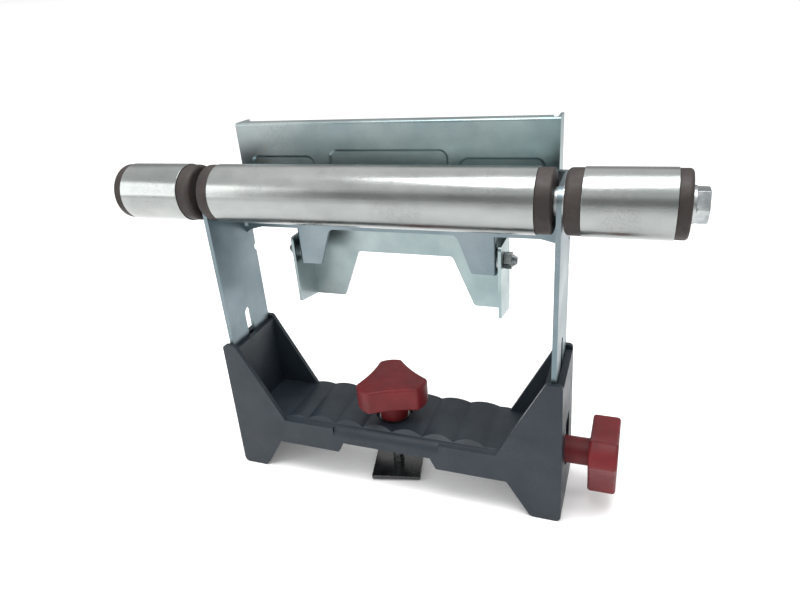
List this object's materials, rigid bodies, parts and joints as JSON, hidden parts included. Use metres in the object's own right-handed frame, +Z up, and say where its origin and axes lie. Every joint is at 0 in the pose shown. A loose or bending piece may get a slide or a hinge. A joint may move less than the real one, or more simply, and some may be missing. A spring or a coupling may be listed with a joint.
{
  "type": "clamp-on roller work support",
  "caption": "Clamp-on roller work support for a saw stand: moulded saddle with rail clamp, height-adjustable sheet frame, rollers on one axle and a flip-up length stop.",
  "frame": {"origin": "middle of the bounding box in plan, on the plane under the feet", "axes": "+X along the rollers, from the plain wing to the wing with the height lock; +Y from the rollers back to the stop plate; +Z up"},
  "size_m": [0.3772, 0.076, 0.256],
  "materials": {
    "saddle_plastic": "moulded, satin",
    "knob_plastic": "moulded, satin",
    "cap_plastic": "moulded",
    "zinc_sheet": "zinc plated sheet",
    "roller_steel": "zinc plated tube",
    "hardware": "zinc plated",
    "black_steel": "gloss black",
    "brass": "plain"
  },
  "bodies": {
    "base": {"base_saddle": "saddle_plastic", "rail_clamp_washer": "hardware", "height_lock_nut": "hardware", "guide_bolt": "hardware", "guide_washer": "hardware", "guide_nut": "hardware"},
    "lift": {"lift_frame": "zinc_sheet", "axle_bolt": "hardware", "axle_nut": "hardware", "end_washer_left": "hardware", "end_washer_right": "hardware", "spacer_washer_left_inner": "hardware", "spacer_washer_left_outer": "hardware", "spacer_washer_right_inner": "hardware", "spacer_washer_right_outer": "hardware", "hinge_bolt_left": "hardware", "hinge_bolt_right": "hardware", "hinge_nut_left": "hardware", "hinge_nut_right": "hardware", "hinge_washer_left": "hardware", "hinge_washer_right": "hardware"},
    "stop": {"stop_plate": "zinc_sheet"},
    "roller_centre": {"roller_tube_centre": "roller_steel", "cap_centre_left": "cap_plastic", "cap_centre_right": "cap_plastic"},
    "roller_left": {"roller_tube_left": "roller_steel", "cap_left_inner": "cap_plastic", "cap_left_outer": "cap_plastic"},
    "roller_right": {"roller_tube_right": "roller_steel", "cap_right_inner": "cap_plastic", "cap_right_outer": "cap_plastic"},
    "clamp_knob": {"rail_clamp_knob": "knob_plastic", "rail_clamp_insert": "brass"},
    "clamp_plate": {"rail_clamp_stud": "hardware", "rail_clamp_plate": "black_steel"},
    "lock_plate": {"height_lock_plate": "zinc_sheet"},
    "lock_knob": {"height_lock_knob": "knob_plastic", "height_lock_stud": "hardware"}
  },
  "joints": [
    {"name": "frame_lift", "type": "slide", "parent": "base", "child": "lift", "axis": [0, 0, 1], "range_m": [-0.06, 0.024]},
    {"name": "centre_roller_spin", "type": "hinge", "parent": "lift", "child": "roller_centre", "pos_m": [0, -0.019, 0.217], "axis": [1, 0, 0], "continuous": true},
    {"name": "left_roller_spin", "type": "hinge", "parent": "lift", "child": "roller_left", "pos_m": [-0.1505, -0.019, 0.217], "axis": [1, 0, 0], "continuous": true},
    {"name": "right_roller_spin", "type": "hinge", "parent": "lift", "child": "roller_right", "pos_m": [0.1505, -0.019, 0.217], "axis": [1, 0, 0], "continuous": true},
    {"name": "stop_swing", "type": "hinge", "parent": "lift", "child": "stop", "pos_m": [0, 0.022, 0.1642], "axis": [-1, 0, 0], "range_deg": [0, 90]},
    {"name": "clamp_knob_turn", "type": "hinge", "parent": "base", "child": "clamp_knob", "pos_m": [-0.002, -0.0035, 0.054], "axis": [0, 0, -1], "range_deg": [0, 5760]},
    {"name": "clamp_plate_lift", "type": "slide", "parent": "base", "child": "clamp_plate", "axis": [0, 0, 1], "range_m": [0, 0.02]},
    {"name": "lock_plate_release", "type": "slide", "parent": "base", "child": "lock_plate", "axis": [1, 0, 0], "range_m": [0, 0.0025]},
    {"name": "lock_knob_turn", "type": "hinge", "parent": "lock_plate", "child": "lock_knob", "pos_m": [0.1235, -0.0035, 0.0395], "axis": [1, 0, 0], "range_deg": [0, 720]}
  ],
  "couplings": [
    {"joint": "clamp_knob_turn", "follows": "clamp_plate_lift", "rad_per_m": 5026.5},
    {"joint": "lock_knob_turn", "follows": "lock_plate_release", "rad_per_m": 5026.5}
  ]
}
